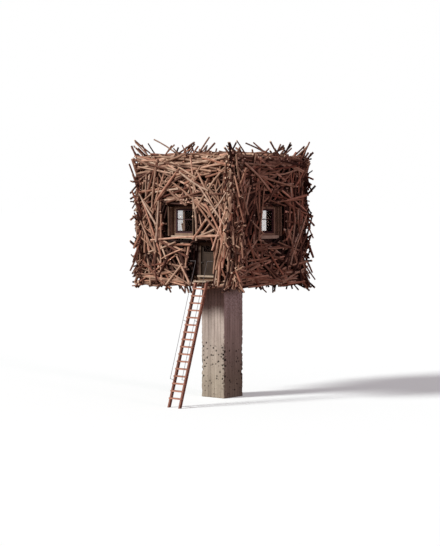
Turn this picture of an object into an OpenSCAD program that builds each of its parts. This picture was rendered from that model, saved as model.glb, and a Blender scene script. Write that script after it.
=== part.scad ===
// Tree house: a timber cabin wrapped in woven sticks on one concrete pillar.
// Millimetres, +Z up. Origin: middle of the pillar's foot, on the ground.
// The door faces -Y. Walls are numbered 0 front, 1 right, 2 back, 3 left, and
// each is drawn in a frame of its own: x runs along the wall, to the right as
// it is seen from outside, and y is 0 on the cabin wall's outer face, with the
// outdoors at negative y.

/* [Pillar] */
// Side of the square concrete pillar
pillar_w = 1250; // [1100:10:1500]
// Height of the pillar, ground to bearers
pillar_h = 4820; // [3500:10:5400]
// Bevel on the pillar's four upright edges
pillar_bevel = 18; // [2:1:40]

/* [Floor] */
// Depth of the two bearers that lie on the pillar
bearer_h = 180; // [120:10:260]
// Width of a bearer
bearer_w = 160; // [100:10:220]
// Distance between the bearers' middles
bearer_gap = 800; // [500:10:900]
// Depth of the floor joists
joist_h = 140; // [100:10:220]
// Width of a joist
joist_w = 70; // [45:5:100]
// Number of floor joists
joist_n = 8; // [5:1:12]
// Thickness of the floor boards
deck_t = 40; // [20:1:60]

/* [Cabin] */
// Width of the cabin over its walls, along X
cabin_w = 4500; // [4000:10:5600]
// Depth of the cabin over its walls, along Y
cabin_d = 4100; // [3600:10:5200]
// Height of the cabin walls
cabin_h = 4220; // [3400:10:5000]
// Thickness of a cabin wall
wall_t = 90; // [70:5:140]
// Depth of the roof joists
roof_joist_h = 140; // [100:10:220]
// Number of roof joists
roof_joist_n = 7; // [4:1:12]
// Thickness of the roof boards
roof_t = 40; // [20:1:60]
// Seam between the panels of one wall
seam = 0.5; // [0.2:0.1:0.8]

/* [Windows] */
// Width of a window frame
win_w = 1200; // [800:10:1300]
// Height of a window frame
win_h = 1200; // [800:10:1400]
// Underside of a window frame above the floor
win_up = 1700; // [1600:10:2000]
// Face width of the frame's members
win_member = 95; // [60:5:120]
// How far a frame stands proud of the cabin wall
frame_proud = 20; // [5:1:40]
// Face width of the sash's members
sash_member = 70; // [40:5:90]
// Thickness of a sash
sash_t = 45; // [30:1:60]
// Setback of a sash from the frame's front
sash_set = 30; // [10:1:45]
// Thickness of a pane
pane_t = 8; // [4:1:14]
// Height of the glazing bar
bar_h = 26; // [16:1:50]
// Glazing bar's middle below the top of the glass
bar_drop = 365; // [200:5:430]
// Height of a window sill
sill_h = 130; // [60:5:180]
// How far a sill reaches out from the cabin wall
sill_out = 170; // [100:5:260]
// How far a sill passes the frame at each side
sill_side = 60; // [0:5:80]
// Front window's middle, from the wall's middle
win_front = -320; // [-900:10:-200]
// Right window's middle, from the wall's middle
win_right = 150; // [-600:10:600]
// Back window's middle, from the wall's middle
win_back = -380; // [-600:10:600]
// Left window's middle, from the wall's middle
win_left = 290; // [-600:10:600]

/* [Door] */
// Middle of the doorway from the wall's middle
door_x = 980; // [900:10:1250]
// Width of the door leaf
door_w = 840; // [700:10:900]
// Height of the door leaf
door_h = 1240; // [1100:10:1300]
// Thickness of the door leaf
door_t = 45; // [35:1:55]
// Gap between the leaf and its frame
door_gap = 6; // [5:1:10]
// Face width of the door frame's members
jamb_w = 100; // [70:5:130]
// Width of the planted door stops
stop_w = 15; // [10:1:25]
// Height of the threshold above the floor
threshold_h = 70; // [40:5:100]
// How far the threshold reaches out
threshold_out = 120; // [20:5:200]
// Width of the rails and stiles around the door's panels
stile_w = 95; // [70:5:120]
// Depth of the panel recesses in the leaf
panel_set = 12; // [5:1:16]
// Height of the small glass light
light_h = 225; // [150:5:260]
// Height of the middle panel
mid_panel_h = 270; // [180:5:300]
// Height of the rails between light and panels
rail_h = 50; // [30:5:60]
// Radius of a hinge knuckle
knuckle_r = 8; // [6:0.5:9]
// Radius of a hinge pin
pin_r = 4; // [3:0.5:5]
// Clearance around a hinge pin
pin_gap = 0.05; // [0.02:0.01:0.1]
// Length of one hinge knuckle
knuckle_h = 45; // [30:1:60]
// Hinge middles from the leaf's top and bottom
hinge_in = 180; // [120:5:250]

/* [Nest] */
// Thickness of the woven stick wall
nest_t = 320; // [260:10:420]
// Drop of the woven wall below the bearers
nest_drop = 60; // [20:5:120]
// Thickness of the stick layer on the roof
roof_nest_t = 470; // [300:10:600]
// Clear strip of sticks beside a window frame
win_clear = 100; // [80:5:160]
// Clear strip of sticks over a window or door
top_clear = 50; // [30:5:100]
// Clear strip of sticks beside the door frame
door_clear = 20; // [10:5:60]
// Clearance around the pillar in the underside
pillar_clear = 10; // [5:1:30]
// Thickness of an outer log across its flats
log_d = 85; // [60:5:110]
// Distance between the logs of one layer
log_pitch = 500; // [420:10:640]
// Longest overrun of a log past a corner
log_over = 500; // [200:10:540]
// Clear strip between logs and an opening
log_clear = 120; // [90:5:200]
// Largest slant of a log, as offset of its ends
log_slant = 60; // [0:5:90]
// Space between two layers of logs
log_gap = 0.3; // [0.2:0.1:0.8]

/* [Ladder] */
// Ladder's middle, from the pillar's middle
ladder_x = 1010; // [930:10:1150]
// Width over the ladder's stringers
ladder_w = 650; // [500:10:720]
// Thickness of a stringer
stringer_t = 75; // [35:1:85]
// Depth of a stringer, front to back
stringer_d = 125; // [80:5:140]
// Forward reach of the ladder, foot to top
ladder_run = 1700; // [1300:10:2200]
// Number of steps, with the landing
steps = 17; // [15:1:19]
// Height of the first tread's top
first_step = 397; // [250:1:420]
// Thickness of a tread
tread_t = 58; // [24:1:65]
// How far a tread stands out in front of the stringers
tread_nose = 45; // [20:1:60]
// Wood left of a stringer behind each tread
tread_back = 40; // [25:1:50]
// How far a tread passes the stringers
tread_over = 5; // [2:1:30]
// Thickness of the landing board
landing_t = 50; // [35:1:70]

/* [Handrails] */
// Thickness of the steel handrail rod
rod_d = 18; // [12:1:30]
// Distance of a handrail from the stringers' fronts
rod_off = 210; // [150:5:300]
// Tread above which a handrail starts
rod_foot_step = 3; // [2:1:5]
// Distance of a handrail from its stringer's outer face
rod_in = 15; // [10:1:30]
// Tread above which a handrail is stayed
rod_stay_step = 11; // [8:1:13]
// How far a handrail runs on past the ladder's head
rod_above = 810; // [500:10:900]
// Sideways turn of a handrail at its top
rod_turn = 290; // [250:5:360]

/* [Hidden] */

$fn = 32;
eps = 1;

// Levels
joist_z = pillar_h + bearer_h;
floor_z = joist_z + joist_h + deck_t;
wall_top = floor_z + cabin_h;
roof_z = wall_top + roof_joist_h + roof_t;
nest_bot = pillar_h - nest_drop;
nest_top = roof_z + roof_nest_t;

// Windows
win_z = floor_z + win_up;
win_u = [win_front, win_right, win_back, win_left];
sash_w = win_w - 2 * win_member;
sash_h = win_h - 2 * win_member;
glass_w = sash_w - 2 * sash_member;
glass_h = sash_h - 2 * sash_member;
glass_z = win_z + win_member + sash_member;
bar_z = glass_z + glass_h - bar_drop;

// Door
leaf_z = floor_z + threshold_h + door_gap;
door_half = door_w / 2 + door_gap + jamb_w;
head_z = leaf_z + door_h + door_gap;
door_top = head_z + jamb_w;
hinge_x = door_x + (door_w + door_gap) / 2;
hinge_y = wall_t + knuckle_r + 2;
hinge_zs = [leaf_z + hinge_in, leaf_z + door_h - hinge_in];
panel_w = door_w - 2 * stile_w;
light_z = leaf_z + door_h - rail_h - 10 - light_h;
mid_z = light_z - rail_h - mid_panel_h;
low_z = leaf_z + stile_w;
low_h = mid_z - rail_h - low_z;
knob_x = door_x - door_w / 2 + stile_w / 2;
knob_z = leaf_z + door_h * 0.42;

// Landing and ladder
landing_z = joist_z;
step_h = (landing_z + landing_t - first_step) / (steps - 1);
function tread_z(i) = first_step + (i - 1) * step_h;
nest_face = cabin_d / 2 + nest_t;
ladder_len = landing_z / cos(ladder_a0());
function ladder_a0() = atan2(ladder_run, landing_z + landing_t);
ladder_a = ladder_a0();
ladder_top_y = -(nest_face + 2 * log_d + 20);
ladder_foot_y = ladder_top_y - landing_z * tan(ladder_a);
function ladder_y(z) = ladder_foot_y + z * tan(ladder_a);

// Each wall's distance from the middle and its half length
function dist(s) = (s % 2 == 0 ? cabin_d : cabin_w) / 2;
function half(s) = (s % 2 == 0 ? cabin_w : cabin_d) / 2;
module at_wall(s) rotate([0, 0, 90 * s]) translate([0, -dist(s), 0]) children();

// A box from one corner to the other
module span(a, b) translate(a) cube(b - a);

// ---------------------------------------------------------------- structure

module pillar() color([0.72, 0.70, 0.67]) linear_extrude(pillar_h)
  polygon([for (q = [0:3], e = [0:1])
    let (h = pillar_w / 2, b = pillar_bevel,
         p = e == 0 ? [h - b, -h] : [h, -h + b], a = 90 * q)
    [p.x * cos(a) - p.y * sin(a), p.x * sin(a) + p.y * cos(a)]]);

module bearers() color([0.40, 0.27, 0.18]) for (s = [-1, 1])
  translate([s * bearer_gap / 2 - bearer_w / 2, -cabin_d / 2, pillar_h])
    cube([bearer_w, cabin_d, bearer_h]);

module joist_row(n, z, h) for (i = [0:n - 1])
  translate([-cabin_w / 2, -cabin_d / 2 + i * (cabin_d - joist_w) / (n - 1), z])
    cube([cabin_w, joist_w, h]);

module floor_joists() color([0.42, 0.29, 0.19]) joist_row(joist_n, joist_z, joist_h);

module floor_deck() color([0.50, 0.36, 0.24])
  span([-cabin_w / 2, -cabin_d / 2, floor_z - deck_t], [cabin_w / 2, cabin_d / 2, floor_z]);

module roof_joists() color([0.42, 0.29, 0.19])
  joist_row(roof_joist_n, wall_top, roof_joist_h);

module roof_deck() color([0.45, 0.33, 0.23])
  span([-cabin_w / 2, -cabin_d / 2, roof_z - roof_t], [cabin_w / 2, cabin_d / 2, roof_z]);

// Wall panels around one opening: u0..u1 along the wall, z0..z1 in height,
// y0..y1 in depth, with the opening h = [u0, u1, z0, z1]
module panels(u0, u1, z0, z1, y0, y1, h) {
  span([u0, y0, z0], [h[0] - seam, y1, z1]);
  span([h[1] + seam, y0, z0], [u1, y1, z1]);
  span([h[0], y0, z0], [h[1], y1, h[2]]);
  span([h[0], y0, h[3]], [h[1], y1, z1]);
}

function win_hole(s) = [win_u[s] - win_w / 2, win_u[s] + win_w / 2, win_z, win_z + win_h];

module front_wall_left() color([0.36, 0.24, 0.17]) at_wall(0)
  panels(-half(0), door_x - door_half, floor_z, wall_top, 0, wall_t, win_hole(0));

module front_wall_right() color([0.36, 0.24, 0.17]) at_wall(0)
  span([door_x + door_half, 0, floor_z], [half(0), wall_t, wall_top]);

module front_wall_over_door() color([0.36, 0.24, 0.17]) at_wall(0)
  span([door_x - door_half + seam, 0, door_top], [door_x + door_half - seam, wall_t, wall_top]);

// Side walls stand between the front and back walls
module window_wall(s) color([0.36, 0.24, 0.17]) at_wall(s) {
  h = half(s) - (s % 2 == 0 ? 0 : wall_t);
  panels(-h, h, floor_z, wall_top, 0, wall_t, win_hole(s));
}
module right_wall() window_wall(1);
module back_wall() window_wall(2);
module left_wall() window_wall(3);

// ------------------------------------------------------------------ windows

// A rectangular ring, outer size w by h, face width m, depth y0..y1
module ring(u, z, w, h, m, y0, y1) difference() {
  span([u - w / 2, y0, z], [u + w / 2, y1, z + h]);
  span([u - w / 2 + m, y0 - eps, z + m], [u + w / 2 - m, y1 + eps, z + h - m]);
}

module window_frames() color([0.46, 0.37, 0.30]) for (s = [0:3]) at_wall(s)
  ring(win_u[s], win_z, win_w, win_h, win_member, -frame_proud, wall_t);

sash_y = sash_set - frame_proud;
module window_sashes() color([0.17, 0.08, 0.09]) for (s = [0:3]) at_wall(s) {
  ring(win_u[s], win_z + win_member, sash_w, sash_h, sash_member, sash_y, sash_y + sash_t);
  span([win_u[s] - glass_w / 2 - eps, sash_y, bar_z - bar_h / 2],
       [win_u[s] + glass_w / 2 + eps, sash_y + sash_t, bar_z + bar_h / 2]);
}

module window_panes() color([0.80, 0.85, 0.88, 0.4]) for (s = [0:3]) at_wall(s) {
  y = sash_y + (sash_t - pane_t) / 2;
  span([win_u[s] - glass_w / 2, y, glass_z], [win_u[s] + glass_w / 2, y + pane_t, bar_z - bar_h / 2]);
  span([win_u[s] - glass_w / 2, y, bar_z + bar_h / 2], [win_u[s] + glass_w / 2, y + pane_t, glass_z + glass_h]);
}

module window_sills() color([0.60, 0.52, 0.43]) for (s = [0:3]) at_wall(s)
  span([win_u[s] - win_w / 2 - sill_side, -sill_out, win_z - sill_h],
       [win_u[s] + win_w / 2 + sill_side, 0, win_z]);

// --------------------------------------------------------------------- door

module door_frame() color([0.40, 0.30, 0.22]) at_wall(0) {
  for (s = [-1, 1]) translate([door_x + s * (door_half - jamb_w / 2) - jamb_w / 2, -frame_proud, floor_z + threshold_h])
    cube([jamb_w, wall_t + frame_proud, head_z - floor_z - threshold_h - seam]);
  span([door_x - door_half, -frame_proud, head_z], [door_x + door_half, wall_t, door_top]);
}

// Planted stops, which the leaf closes against from inside
stop_y = wall_t - door_t - door_gap;
module door_stops() color([0.36, 0.26, 0.19]) at_wall(0) {
  w = door_w / 2 + door_gap;
  for (s = [-1, 1]) translate([door_x + s * (w - stop_w / 2) - stop_w / 2, -frame_proud, floor_z + threshold_h])
    cube([stop_w, stop_y + frame_proud, head_z - floor_z - threshold_h]);
  span([door_x - w + stop_w + seam, -frame_proud, head_z - stop_w - door_gap],
       [door_x + w - stop_w - seam, stop_y, head_z]);
}

module threshold() color([0.52, 0.42, 0.33]) at_wall(0)
  span([door_x - door_half, -threshold_out, floor_z], [door_x + door_half, wall_t, floor_z + threshold_h]);

leaf_y = wall_t - door_t;
module door_leaf() color([0.30, 0.20, 0.14]) at_wall(0) difference() {
  span([door_x - door_w / 2, leaf_y, leaf_z], [door_x + door_w / 2, wall_t, leaf_z + door_h]);
  span([door_x - panel_w / 2, leaf_y - eps, light_z], [door_x + panel_w / 2, wall_t + eps, light_z + light_h]);
  for (p = [[mid_z, mid_panel_h], [low_z, low_h]], y = [leaf_y - eps, wall_t - panel_set])
    translate([door_x - panel_w / 2, y, p[0]]) cube([panel_w, panel_set + eps, p[1]]);
  translate([knob_x, leaf_y - eps, knob_z]) rotate([-90, 0, 0]) cylinder(r = 9, h = door_t + 2 * eps);
}

module door_pane() color([0.80, 0.85, 0.88, 0.4]) at_wall(0)
  span([door_x - panel_w / 2, leaf_y + (door_t - pane_t) / 2, light_z],
       [door_x + panel_w / 2, leaf_y + (door_t + pane_t) / 2, light_z + light_h]);

module door_knob() color([0.25, 0.22, 0.20]) at_wall(0) translate([knob_x, leaf_y, knob_z]) {
  rotate([-90, 0, 0]) translate([0, 0, -42]) cylinder(r = 9, h = door_t + 84);
  for (y = [-62, door_t + 34]) translate([0, y, 0]) rotate([-90, 0, 0]) cylinder(r = 24, h = 28);
  for (y = [-6, door_t]) translate([0, y, 0]) rotate([-90, 0, 0]) cylinder(r = 26, h = 6);
}

// Fixed knuckle, its plate on the frame, and the pin
module hinge_pins() color([0.30, 0.28, 0.27]) at_wall(0) for (z = hinge_zs) translate([hinge_x, 0, z]) {
  translate([0, hinge_y, -knuckle_h]) cylinder(r = knuckle_r, h = knuckle_h - 0.5);
  translate([0, hinge_y, -knuckle_h]) cylinder(r = pin_r, h = 2 * knuckle_h);
  span([0, hinge_y - 4, -knuckle_h], [knuckle_r + 5, hinge_y + 2, -0.5]);
  span([door_gap / 2 + 1, wall_t, -knuckle_h], [45, wall_t + 5, -0.5]);
  span([door_gap / 2 + 1, wall_t, -knuckle_h], [knuckle_r + 5, hinge_y, -0.5]);
}

// Knuckle and plate that turn with the leaf
module hinge_sleeves() color([0.34, 0.31, 0.29]) at_wall(0) for (z = hinge_zs) translate([hinge_x, 0, z])
  difference() {
    union() {
      translate([0, hinge_y, 0.5]) cylinder(r = knuckle_r, h = knuckle_h - 0.5);
      span([-knuckle_r - 5, hinge_y - 4, 0.5], [0, hinge_y + 2, knuckle_h]);
      span([-45, wall_t, 0.5], [-door_gap / 2 - 1, wall_t + 5, knuckle_h]);
      span([-knuckle_r - 5, wall_t, 0.5], [-door_gap / 2 - 1, hinge_y, knuckle_h]);
    }
    translate([0, hinge_y, -1]) cylinder(r = pin_r + pin_gap, h = knuckle_h + 2);
  }

// --------------------------------------------------------------------- nest

// Openings through the woven wall: [u0, u1, z0, z1]
function nest_hole(s) = [win_u[s] - win_w / 2 - win_clear, win_u[s] + win_w / 2 + win_clear,
                         win_z - sill_h, win_z + win_h + top_clear];
door_hole = [door_x - door_half - door_clear, door_x + door_half + door_clear,
             landing_z, door_top + top_clear];

// Front and back run past the corners, the sides stand between them
module nest_wall(s, u1) at_wall(s) {
  h = half(s) + (s % 2 == 0 ? nest_t : -seam);
  panels(-h, u1 == undef ? h : u1, nest_bot, nest_top, -nest_t, -seam / 2, nest_hole(s));
}

module front_nest() color([0.50, 0.37, 0.27]) {
  nest_wall(0, door_hole[0]);
  at_wall(0) {
    h = half(0) + nest_t;
    span([door_hole[0] + seam, -nest_t, nest_bot], [door_hole[1], -seam / 2, door_hole[2]]);
    span([door_hole[0] + seam, -nest_t, door_hole[3]], [door_hole[1], -seam / 2, nest_top]);
    span([door_hole[1] + seam, -nest_t, nest_bot], [h, -seam / 2, nest_top]);
  }
}
module right_nest() color([0.40, 0.27, 0.22]) nest_wall(1);
module back_nest() color([0.44, 0.32, 0.25]) nest_wall(2);
module left_nest() color([0.47, 0.35, 0.26]) nest_wall(3);

module roof_nest() color([0.50, 0.40, 0.29])
  span([-cabin_w / 2, -cabin_d / 2, roof_z], [cabin_w / 2, cabin_d / 2, nest_top]);

// Blocks of sticks under the joists, clear of the pillar and the bearers
module under_nest() color([0.33, 0.22, 0.20]) {
  p = pillar_w / 2 + pillar_clear;
  b0 = bearer_gap / 2 - bearer_w / 2 - seam;
  b1 = bearer_gap / 2 + bearer_w / 2 + seam;
  for (s = [0, 1]) rotate([0, 0, 180 * s]) {
    span([p, -cabin_d / 2, nest_bot], [cabin_w / 2, cabin_d / 2, joist_z]);
    span([-b0, p, nest_bot], [b0, cabin_d / 2, joist_z]);
    span([b1, p, nest_bot], [p - seam, cabin_d / 2, joist_z]);
    span([-p + seam, p, nest_bot], [-b1, cabin_d / 2, joist_z]);
  }
}

// A six-sided log in a wall's frame, between two points [u, z], its middle at
// depth y; two of its flats are parallel to the wall
module log(a, b, y) {
  d = b - a;
  translate([a.x, y, a.y]) rotate([0, atan2(d.x, d.y), 0])
    cylinder(r = log_d / 2 / cos(30), h = norm(d), $fn = 6);
}

// Parts of the line at v between lo and hi that miss the holes;
// each hole is [along0, along1, across0, across1]
function clear_runs(v, lo, hi, holes) =
  let (m = log_clear,
       hit = [for (h = holes) if (v > h[2] - m && v < h[3] + m) h])
  len(hit) == 0 ? [[lo, hi]] :
  len(hit) == 1 ? [[lo, hit[0][0] - m], [hit[0][1] + m, hi]] :
  [[lo, hit[0][0] - m], [hit[0][1] + m, hit[1][0] - m], [hit[1][1] + m, hi]];

function turned(h) = [h[2], h[3], h[0], h[1]];

// What the logs keep clear of on each wall; the doorway's strip goes on down
// over the ladder's head
function log_holes(s) = s == 0
  ? [nest_hole(0), [door_hole[0], door_hole[1], nest_bot - 2 * log_over, door_hole[3]]]
  : [nest_hole(s)];

module wall_logs(s) at_wall(s) {
  f = half(s) + nest_t;
  rows = floor((nest_top - nest_bot - 2 * log_d) / log_pitch);
  r = rands(0, 1, 200, 11 + s);
  y1 = -nest_t - log_d / 2 - log_gap;
  y2 = y1 - log_d - log_gap;
  // lying logs, the front and back ones half a pitch above the side ones
  z0 = nest_bot + log_d + (s % 2 == 0 ? log_pitch / 2 : 0);
  for (i = [0:rows - 1]) {
    z = z0 + i * log_pitch;
    k = (r[i] - 0.5) * log_slant;
    for (run = clear_runs(z, -f - log_over * (0.3 + 0.7 * r[i + 20]),
                          f + log_over * (0.3 + 0.7 * r[i + 40]), log_holes(s)))
      if (run[1] - run[0] > 3 * log_d) log([run[0], z - k], [run[1], z + k], y1);
  }
  // standing logs outside them
  cols = floor((2 * f - 3 * log_d) / log_pitch) + 1;
  for (j = [0:cols - 1]) {
    u = (j - (cols - 1) / 2) * log_pitch;
    k = (r[j + 60] - 0.5) * log_slant;
    for (run = clear_runs(u, nest_bot - log_over * (0.2 + 0.5 * r[j + 80]),
                          nest_top + log_over * (0.5 + 1.3 * r[j + 100]),
                          [for (h = log_holes(s)) turned(h)]))
      if (run[1] - run[0] > 3 * log_d) log([u - k, run[0]], [u + k, run[1]], y2);
  }
}
module front_logs() color([0.62, 0.48, 0.36]) wall_logs(0);
module right_logs() color([0.45, 0.30, 0.25]) wall_logs(1);
module back_logs() color([0.50, 0.37, 0.29]) wall_logs(2);
module left_logs() color([0.55, 0.42, 0.32]) wall_logs(3);

// Two crossed layers on the roof, half a pitch off the walls' standing logs
module roof_logs() color([0.55, 0.46, 0.34]) {
  z1 = nest_top + log_d / 2 + log_gap;
  z2 = z1 + log_d + log_gap;
  fx = cabin_w / 2 + nest_t;
  fy = cabin_d / 2 + nest_t;
  ny = floor((2 * fy - 3 * log_d) / log_pitch);
  nx = floor((2 * fx - 3 * log_d) / log_pitch);
  r = rands(0, 1, 80, 5);
  for (j = [0:ny - 1]) translate([-fx - log_over * r[j] / 2, (j - (ny - 1) / 2) * log_pitch, z1])
    rotate([0, 90, 0]) rotate([0, 0, 30]) cylinder(r = log_d / 2 / cos(30), h = 2 * fx + log_over * (r[j] + r[j + 20]) / 2, $fn = 6);
  for (j = [0:nx - 1]) translate([(j - (nx - 1) / 2) * log_pitch, -fy - log_over * r[j + 40] / 2, z2])
    rotate([-90, 0, 0]) cylinder(r = log_d / 2 / cos(30), h = 2 * fy + log_over * (r[j + 40] + r[j + 60]) / 2, $fn = 6);
}

// One layer of logs on the underside, clear of the pillar
module under_logs() color([0.30, 0.20, 0.18]) {
  p = pillar_w / 2 + pillar_clear + log_d;
  n = floor((cabin_d / 2 - p) / log_pitch * 2);
  for (s = [-1, 1], j = [0:n])
    translate([-cabin_w / 2, s * (p + j * (cabin_d / 2 - p) / (n + 0.5)), nest_bot - log_d / 2 - log_gap])
      rotate([0, 90, 0]) rotate([0, 0, 30]) cylinder(r = log_d / 2 / cos(30), h = cabin_w, $fn = 6);
}

// ------------------------------------------------------------------- ladder

module landing() color([0.48, 0.30, 0.21])
  span([ladder_x - ladder_w / 2 - tread_over, ladder_top_y - stringer_d, landing_z],
       [ladder_x + ladder_w / 2 + tread_over, -cabin_d / 2, landing_z + landing_t]);

// Treads let into the fronts of the stringers and standing out before them
module treads() for (i = [1:steps - 1]) {
  z = tread_z(i);
  w = stringer_d / cos(ladder_a) / 2;
  span([ladder_x - ladder_w / 2 - tread_over, ladder_y(z) - w - tread_nose, z - tread_t],
       [ladder_x + ladder_w / 2 + tread_over, ladder_y(z - tread_t) + w - tread_back, z]);
}
module ladder_treads() color([0.52, 0.31, 0.22]) treads();

// A leaning board cut level at both ends and notched for the treads
module stringer(x) difference() {
  w = stringer_d / cos(ladder_a) / 2;
  translate([x + stringer_t, 0, 0]) rotate([0, -90, 0]) linear_extrude(stringer_t)
    polygon([[0, ladder_y(0) - w], [0, ladder_y(0) + w],
             [landing_z, ladder_y(landing_z) + w], [landing_z, ladder_y(landing_z) - w]]);
  treads();
}
module stringer_left() color([0.45, 0.27, 0.20]) stringer(ladder_x - ladder_w / 2);
module stringer_right() color([0.45, 0.27, 0.20]) stringer(ladder_x + ladder_w / 2 - stringer_t);

// Point at a distance along the ladder and in front of its stringers
function on_ladder(along, out) =
  [along * sin(ladder_a) - out * cos(ladder_a) + ladder_foot_y, along * cos(ladder_a) + out * sin(ladder_a)];

// Straight eight-sided rod between two points, run on by ends e past them
module rod(a, b, e = [0, 0]) {
  d = (b - a) / norm(b - a);
  translate(a - e[0] * d) rotate([0, acos(d.z), atan2(d.y, d.x)])
    cylinder(d = rod_d, h = norm(b - a) + e[0] + e[1], $fn = 8);
}

// Distance along the ladder to the middle of the gap above a tread
function gap_above(n) =
  (tread_z(n + 0.5) - tread_t / 2 - (stringer_d + tread_nose) / 2 * sin(ladder_a)) / cos(ladder_a);

// Handrail: hooked into the stringer at its foot, stayed once on the way and
// turned aside at its top into the woven wall
module handrail(side) {
  x = ladder_x + side * (ladder_w / 2 - rod_in);
  out = stringer_d / 2;
  at = function (s, n) let (p = on_ladder(s, n)) [x, p[0], p[1]];
  foot = gap_above(rod_foot_step);
  stay = gap_above(rod_stay_step);
  top = at(ladder_len + rod_above, out + rod_off);
  turn = top + [side * rod_turn, 0, 0];
  r = rod_d / 2;
  rod(at(foot, out + rod_off), at(foot, out));
  rod(at(stay, out + rod_off), at(stay, out));
  rod(at(foot, out + rod_off), top, [r, r]);
  rod(top, turn, [0, r]);
  rod(turn, [turn.x, -nest_face, turn.z]);
}
module handrail_left() color([0.60, 0.60, 0.62]) handrail(-1);
module handrail_right() color([0.60, 0.60, 0.62]) handrail(1);

pillar();
bearers();
floor_joists();
floor_deck();
front_wall_left();
front_wall_right();
front_wall_over_door();
right_wall();
back_wall();
left_wall();
roof_joists();
roof_deck();
window_frames();
window_sashes();
window_panes();
window_sills();
door_frame();
door_stops();
threshold();
door_leaf();
door_pane();
door_knob();
hinge_pins();
hinge_sleeves();
front_nest();
right_nest();
back_nest();
left_nest();
roof_nest();
under_nest();
front_logs();
right_logs();
back_logs();
left_logs();
roof_logs();
under_logs();
landing();
stringer_left();
stringer_right();
ladder_treads();
handrail_left();
handrail_right();
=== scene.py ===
"""Tree house in a nest of woven sticks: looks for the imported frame. Metres, +Z up, door on -Y."""

import math
import random

import bpy
import numpy as np
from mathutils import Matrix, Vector, noise

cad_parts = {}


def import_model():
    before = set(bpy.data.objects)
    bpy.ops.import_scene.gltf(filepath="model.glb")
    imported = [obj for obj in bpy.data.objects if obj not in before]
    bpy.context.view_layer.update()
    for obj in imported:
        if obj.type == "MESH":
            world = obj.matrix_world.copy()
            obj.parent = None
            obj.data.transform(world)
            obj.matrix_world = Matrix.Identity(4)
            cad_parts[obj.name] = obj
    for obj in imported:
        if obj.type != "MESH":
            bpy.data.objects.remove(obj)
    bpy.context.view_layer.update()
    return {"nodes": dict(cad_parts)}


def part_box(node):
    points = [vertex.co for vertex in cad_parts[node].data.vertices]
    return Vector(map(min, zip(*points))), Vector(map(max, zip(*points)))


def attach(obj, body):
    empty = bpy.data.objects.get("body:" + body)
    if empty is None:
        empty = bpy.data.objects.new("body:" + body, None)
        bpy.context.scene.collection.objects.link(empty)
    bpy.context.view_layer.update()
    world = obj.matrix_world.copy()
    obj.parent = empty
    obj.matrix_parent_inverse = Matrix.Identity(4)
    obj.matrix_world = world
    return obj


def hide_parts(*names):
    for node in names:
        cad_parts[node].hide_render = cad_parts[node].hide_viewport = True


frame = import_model()
scene = bpy.context.scene
scene.view_settings.view_transform = "Standard"
scene.view_settings.look = "None"

# ------------------------------------------------------------------ camera
CAMERA_PLACE = (41.59, -50.53, 7.97)
CAMERA_DIRECTION = Vector((-0.6366, 0.7712, -0.04139))
CAMERA_LENS = 101.5  # mm, for a sensor 36 mm wide
cam_data = bpy.data.cameras.new("camera")
cam_data.lens = CAMERA_LENS
cam_data.sensor_width = 36.0
cam_data.clip_end = 8000.0
cam = bpy.data.objects.new("camera", cam_data)
cam.location = CAMERA_PLACE
cam.rotation_euler = CAMERA_DIRECTION.to_track_quat("-Z", "Y").to_euler()
scene.collection.objects.link(cam)
scene.camera = cam


# --------------------------------------------------------------- materials
WHITE = (1.0, 1.0, 1.0)
BLACK = (0.0, 0.0, 0.0)
EVEN = (1.0, 1.0, 1.0)  # a texture that isn't stretched


def new_material(name):
    m = bpy.data.materials.new(name)
    m.use_nodes = True
    nt = m.node_tree
    return m, nt, nt.nodes["Principled BSDF"]


def attribute(nt, name):
    n = nt.nodes.new("ShaderNodeAttribute")
    n.attribute_name = name
    return n.outputs["Color"]


def spread(nt, source, low, high, target):
    """Feed target with source, 0 to 1, spread over low to high."""
    n = nt.nodes.new("ShaderNodeMapRange")
    n.inputs["To Min"].default_value = low
    n.inputs["To Max"].default_value = high
    nt.links.new(source, n.inputs["Value"])
    nt.links.new(n.outputs["Result"], target)


def ramp(nt, source, stops):
    n = nt.nodes.new("ShaderNodeValToRGB")
    while len(n.color_ramp.elements) < len(stops):
        n.color_ramp.elements.new(0.5)
    for e, (p, c) in zip(n.color_ramp.elements, stops):
        e.position = p
        e.color = (*c, 1.0)
    nt.links.new(source, n.inputs["Fac"])
    return n


def mix(nt, kind, fac, a, b):
    n = nt.nodes.new("ShaderNodeMix")
    n.data_type = "RGBA"
    n.blend_type = kind
    for i, v in ((0, fac), (6, a), (7, b)):
        if hasattr(v, "is_output"):
            nt.links.new(v, n.inputs[i])
        else:
            n.inputs[i].default_value = v if i == 0 else (*v, 1.0)
    return n.outputs[2]


def bump(nt, bsdf, height, strength, distance):
    n = nt.nodes.new("ShaderNodeBump")
    n.inputs["Strength"].default_value = strength
    n.inputs["Distance"].default_value = distance
    nt.links.new(height, n.inputs["Height"])
    nt.links.new(n.outputs["Normal"], bsdf.inputs["Normal"])


def scaled(nt, kind, scale, factor=1.0, detail=4.0, rough=0.55):
    """A noise over object coordinates or UVs, stretched by scale."""
    co = nt.nodes.new("ShaderNodeTexCoord")
    mp = nt.nodes.new("ShaderNodeMapping")
    mp.inputs["Scale"].default_value = scale
    nt.links.new(co.outputs[kind], mp.inputs["Vector"])
    n = nt.nodes.new("ShaderNodeTexNoise")
    n.inputs["Scale"].default_value = factor
    n.inputs["Detail"].default_value = detail
    n.inputs["Roughness"].default_value = rough
    nt.links.new(mp.outputs["Vector"], n.inputs["Vector"])
    return n.outputs["Fac"]


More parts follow.
